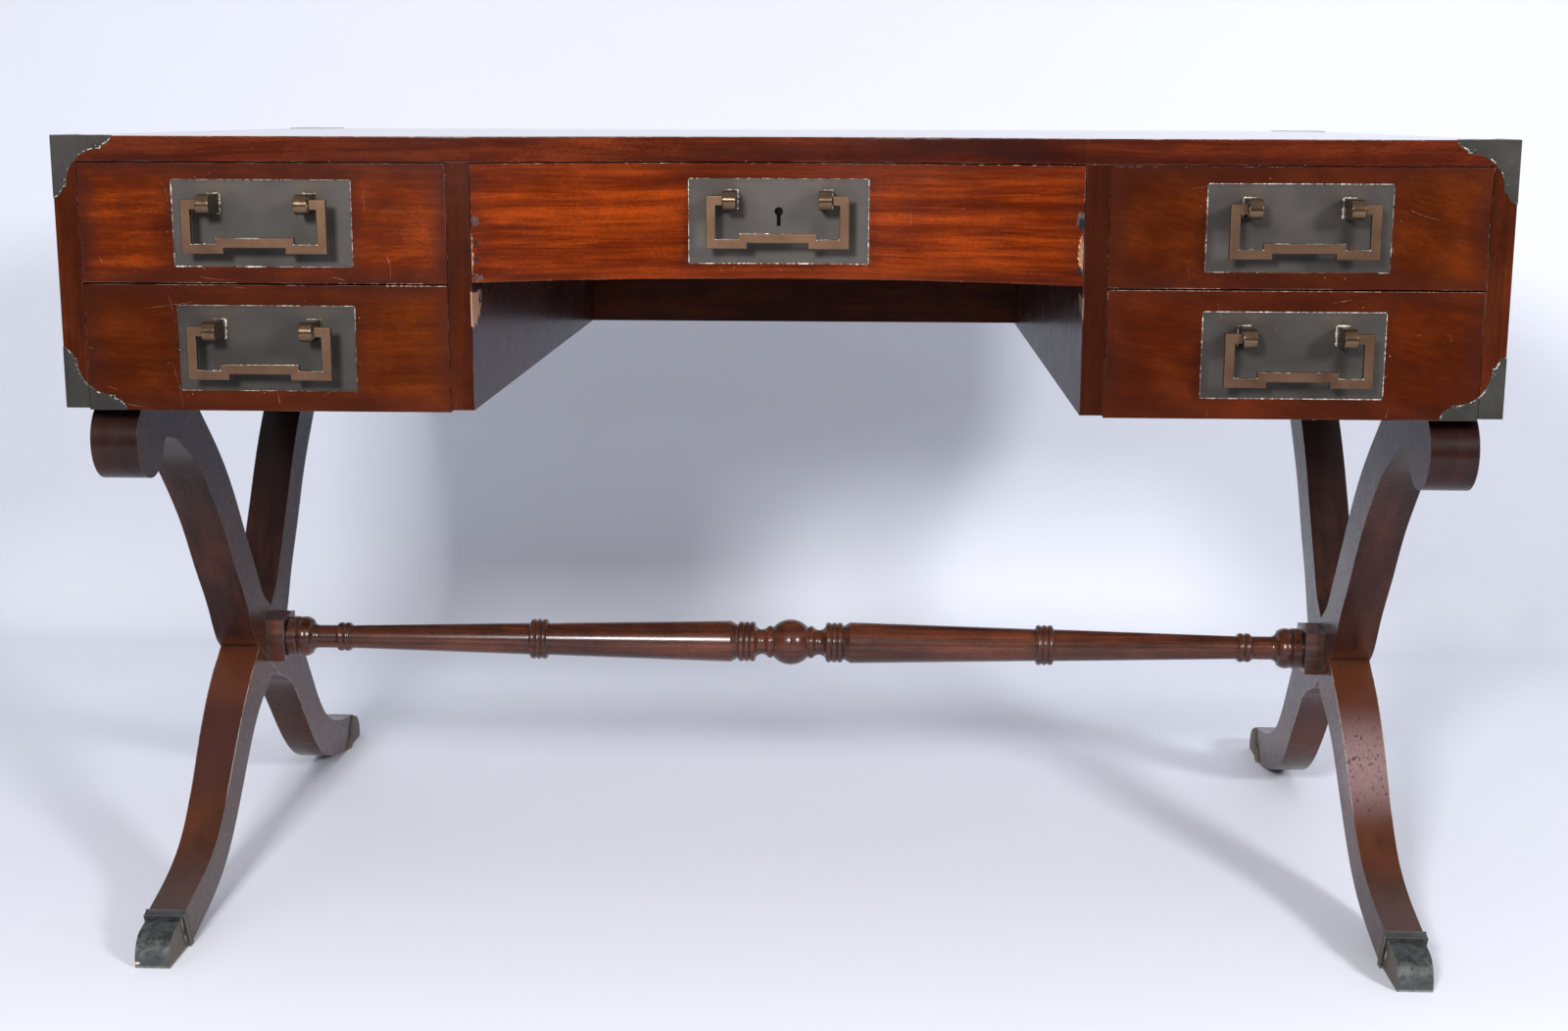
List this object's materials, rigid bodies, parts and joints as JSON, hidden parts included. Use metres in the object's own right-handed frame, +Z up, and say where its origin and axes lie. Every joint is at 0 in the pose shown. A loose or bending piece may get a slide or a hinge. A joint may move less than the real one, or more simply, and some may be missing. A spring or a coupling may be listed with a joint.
{
  "type": "campaign desk",
  "caption": "Mahogany campaign desk: hollow kneehole front, drawers with inlaid brass plates and bail handles, brass corners, X-shaped sabre legs with brass toes and a turned stretcher",
  "frame": {"origin": "on the floor, under the middle of the desk's outline, drawer handles and brackets included", "axes": "+X to the sitter's right along the desk's width, -Y towards the sitter, +Z up"},
  "size_m": [1.2208, 0.8224, 0.7664],
  "materials": {
    "top_mahogany": "french polished mahogany board, glossy",
    "case_mahogany": "french polished mahogany, dark red brown",
    "carcase_wood": "plain planed wood, unpolished",
    "centre_mahogany": "figured mahogany, orange brown, polished",
    "drawer_mahogany": "mottled mahogany, polished",
    "leg_mahogany": "mahogany, waxed and worn on its edges",
    "turned_mahogany": "turned mahogany, glossy, dark in its grooves",
    "sabot_brass": "cast brass, nearly black patina",
    "plate_brass": "sheet brass, grey brown patina",
    "post_brass": "brass, bronze brown, polished by use",
    "bail_brass": "brass, warm brown patina",
    "bracket_brass": "sheet brass, dull brown patina",
    "drawer_lining": "plain oak lining, unpolished",
    "lock_metal": "brass lock case and bolt",
    "screw_steel": "plain steel screws"
  },
  "bodies": {
    "case": {"back_panel": "case_mahogany", "bottom_brackets": "bracket_brass", "centre_runners": "carcase_wood", "desktop": "top_mahogany", "drawer_dividers": "carcase_wood", "frame_screws": "screw_steel", "kneehole_side_left": "case_mahogany", "kneehole_side_right": "case_mahogany", "leg_left_front": "leg_mahogany", "leg_left_rear": "leg_mahogany", "leg_right_front": "leg_mahogany", "leg_right_rear": "leg_mahogany", "outer_side_left": "case_mahogany", "outer_side_right": "case_mahogany", "pedestal_bottoms": "carcase_wood", "sabot_front_left": "sabot_brass", "sabot_front_right": "sabot_brass", "sabot_rear_left": "sabot_brass", "sabot_rear_right": "sabot_brass", "stretcher": "turned_mahogany", "top_brackets": "bracket_brass"},
    "upper_left_drawer": {"upper_left_back": "drawer_lining", "upper_left_bottom": "drawer_lining", "upper_left_front": "drawer_mahogany", "upper_left_plate": "plate_brass", "upper_left_posts": "post_brass", "upper_left_sides": "drawer_lining"},
    "upper_left_bail": {"upper_left_bail": "bail_brass"},
    "upper_right_drawer": {"upper_right_back": "drawer_lining", "upper_right_bottom": "drawer_lining", "upper_right_front": "drawer_mahogany", "upper_right_plate": "plate_brass", "upper_right_posts": "post_brass", "upper_right_sides": "drawer_lining"},
    "upper_right_bail": {"upper_right_bail": "bail_brass"},
    "lower_left_drawer": {"lower_left_back": "drawer_lining", "lower_left_bottom": "drawer_lining", "lower_left_bracket": "bracket_brass", "lower_left_front": "drawer_mahogany", "lower_left_plate": "plate_brass", "lower_left_posts": "post_brass", "lower_left_sides": "drawer_lining"},
    "lower_left_bail": {"lower_left_bail": "bail_brass"},
    "lower_right_drawer": {"lower_right_back": "drawer_lining", "lower_right_bottom": "drawer_lining", "lower_right_bracket": "bracket_brass", "lower_right_front": "drawer_mahogany", "lower_right_plate": "plate_brass", "lower_right_posts": "post_brass", "lower_right_sides": "drawer_lining"},
    "lower_right_bail": {"lower_right_bail": "bail_brass"},
    "centre_drawer": {"centre_back": "drawer_lining", "centre_bottom": "drawer_lining", "centre_front": "centre_mahogany", "centre_plate": "plate_brass", "centre_posts": "post_brass", "centre_sides": "drawer_lining", "lock_case": "lock_metal"},
    "centre_bail": {"centre_bail": "bail_brass"},
    "lock_bolt": {"lock_bolt": "lock_metal"}
  },
  "joints": [
    {"name": "upper_left_drawer_slide", "type": "slide", "parent": "case", "child": "upper_left_drawer", "axis": [0, -1, 0], "range_m": [0, 0.48]},
    {"name": "upper_right_drawer_slide", "type": "slide", "parent": "case", "child": "upper_right_drawer", "axis": [0, -1, 0], "range_m": [0, 0.48]},
    {"name": "lower_left_drawer_slide", "type": "slide", "parent": "case", "child": "lower_left_drawer", "axis": [0, -1, 0], "range_m": [0, 0.48]},
    {"name": "lower_right_drawer_slide", "type": "slide", "parent": "case", "child": "lower_right_drawer", "axis": [0, -1, 0], "range_m": [0, 0.48]},
    {"name": "centre_drawer_slide", "type": "slide", "parent": "case", "child": "centre_drawer", "axis": [0, -1, 0], "range_m": [0, 0.42]},
    {"name": "upper_left_bail_hinge", "type": "hinge", "parent": "upper_left_drawer", "child": "upper_left_bail", "pos_m": [-0.4335, -0.4029, 0.7102], "axis": [-1, 0, 0], "range_deg": [-25, 200]},
    {"name": "upper_right_bail_hinge", "type": "hinge", "parent": "upper_right_drawer", "child": "upper_right_bail", "pos_m": [0.4335, -0.4029, 0.7102], "axis": [-1, 0, 0], "range_deg": [-25, 200]},
    {"name": "lower_left_bail_hinge", "type": "hinge", "parent": "lower_left_drawer", "child": "lower_left_bail", "pos_m": [-0.4335, -0.4029, 0.60455], "axis": [-1, 0, 0], "range_deg": [-25, 200]},
    {"name": "lower_right_bail_hinge", "type": "hinge", "parent": "lower_right_drawer", "child": "lower_right_bail", "pos_m": [0.4335, -0.4029, 0.60455], "axis": [-1, 0, 0], "range_deg": [-25, 200]},
    {"name": "centre_bail_hinge", "type": "hinge", "parent": "centre_drawer", "child": "centre_bail", "pos_m": [0, -0.34239, 0.71275], "axis": [-1, 0, 0], "range_deg": [-25, 200]},
    {"name": "lock_bolt_slide", "type": "slide", "parent": "centre_drawer", "child": "lock_bolt", "axis": [0, 0, 1], "range_m": [0, 0.008]}
  ]
}
